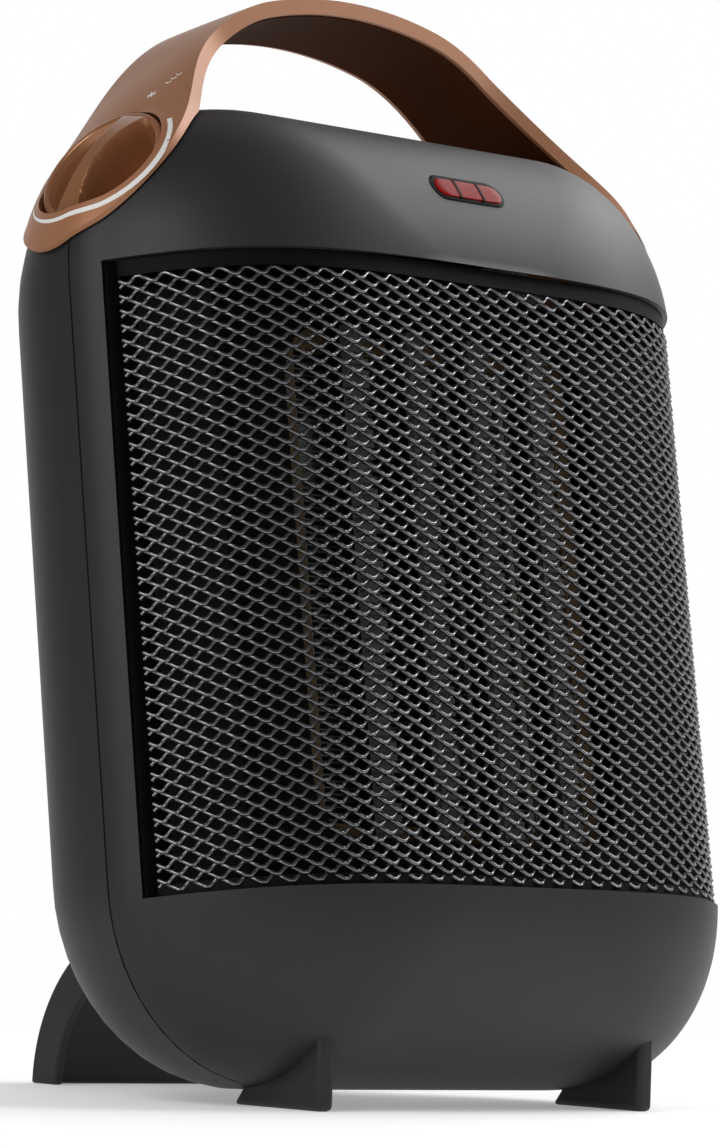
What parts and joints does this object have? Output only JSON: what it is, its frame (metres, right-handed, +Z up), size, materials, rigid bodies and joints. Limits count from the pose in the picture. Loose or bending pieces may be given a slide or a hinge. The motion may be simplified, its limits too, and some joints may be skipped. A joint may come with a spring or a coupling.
{
  "type": "ceramic fan heater",
  "caption": "Compact upright ceramic fan heater, leaning back on its feet, with a bowed metal mesh front and a strap handle whose flared ends carry turning controls.",
  "frame": {"origin": "middle of the overall bounding box, on the surface the heater stands on", "axes": "+Z up, -Y out of the front grille, +X towards the right-hand control seen from the front; the body leans back 9.6 degrees about X"},
  "size_m": [0.1988, 0.1412, 0.281],
  "materials": {
    "shell_plastic": "satin charcoal with a very fine moulded grain",
    "bronze_handle": "satin copper-bronze metallic coating",
    "bronze_knob": "semi-gloss copper-bronze metallic coating",
    "black_plastic": "plain black moulding",
    "black_rubber": "soft matt black",
    "grille_metal": "black heat-proof paint on expanded steel",
    "red_lens": "clear red, polished",
    "lamp_glass": "clear neon lamp",
    "fin_aluminium": "thin pressed fins",
    "ceramic": "fired ceramic, matt",
    "mica": "layered brown mica board",
    "copper": "enamelled copper winding",
    "white_plastic": "plain white moulding",
    "steel": "zinc-plated pressed steel"
  },
  "bodies": {
    "root": {"front_shell": "shell_plastic", "rear_shell": "shell_plastic", "handle": "bronze_handle", "rear_stand": "black_plastic", "case_screw_1": "steel", "case_screw_2": "steel", "case_screw_3": "steel", "case_screw_4": "steel", "stand_screw_1": "steel", "stand_screw_2": "steel", "cord_gland": "black_rubber", "thermostat_body": "steel", "selector_switch": "white_plastic", "indicator_lens": "red_lens", "indicator_lamp": "lamp_glass", "front_grille": "grille_metal", "outlet_grid": "black_plastic", "element_frame": "mica", "heating_strip_1": "fin_aluminium", "heating_strip_2": "fin_aluminium", "heating_strip_3": "fin_aluminium", "heating_strip_4": "fin_aluminium", "heating_strip_5": "fin_aluminium", "ceramic_bar_1": "ceramic", "ceramic_bar_2": "ceramic", "ceramic_bar_3": "ceramic", "ceramic_bar_4": "ceramic", "fan_duct": "black_plastic", "motor_stator": "steel", "motor_coil": "copper", "motor_bracket": "steel", "thermal_cut_out": "white_plastic", "tip_switch_housing": "white_plastic", "terminal_block": "white_plastic", "wire_supply": "black_rubber", "wire_thermostat": "black_rubber", "wire_selector": "black_rubber"},
    "thermostat": {"thermostat_knob": "bronze_knob", "thermostat_spindle": "steel"},
    "selector": {"selector_knob": "bronze_knob", "selector_spindle": "steel"},
    "fan": {"fan_rotor": "white_plastic", "motor_shaft": "steel"},
    "tip_weight": {"tip_pendulum": "steel"}
  },
  "joints": [
    {"name": "thermostat_turn", "type": "hinge", "parent": "root", "child": "thermostat", "pos_m": [-0.08347, 0.00782, 0.22804], "axis": [0.8276, 0.0768, -0.556], "range_deg": [0, 270]},
    {"name": "selector_turn", "type": "hinge", "parent": "root", "child": "selector", "pos_m": [0.08347, 0.00782, 0.22804], "axis": [-0.8276, 0.0768, -0.556], "range_deg": [0, 135]},
    {"name": "fan_spin", "type": "hinge", "parent": "root", "child": "fan", "pos_m": [0, -0.01109, 0.12403], "axis": [0, 0.986, -0.1668], "continuous": true},
    {"name": "tip_weight_swing", "type": "hinge", "parent": "root", "child": "tip_weight", "pos_m": [-0.034, -0.02577, 0.03544], "axis": [0, 0.986, -0.1668], "range_deg": [-20, 20]}
  ]
}
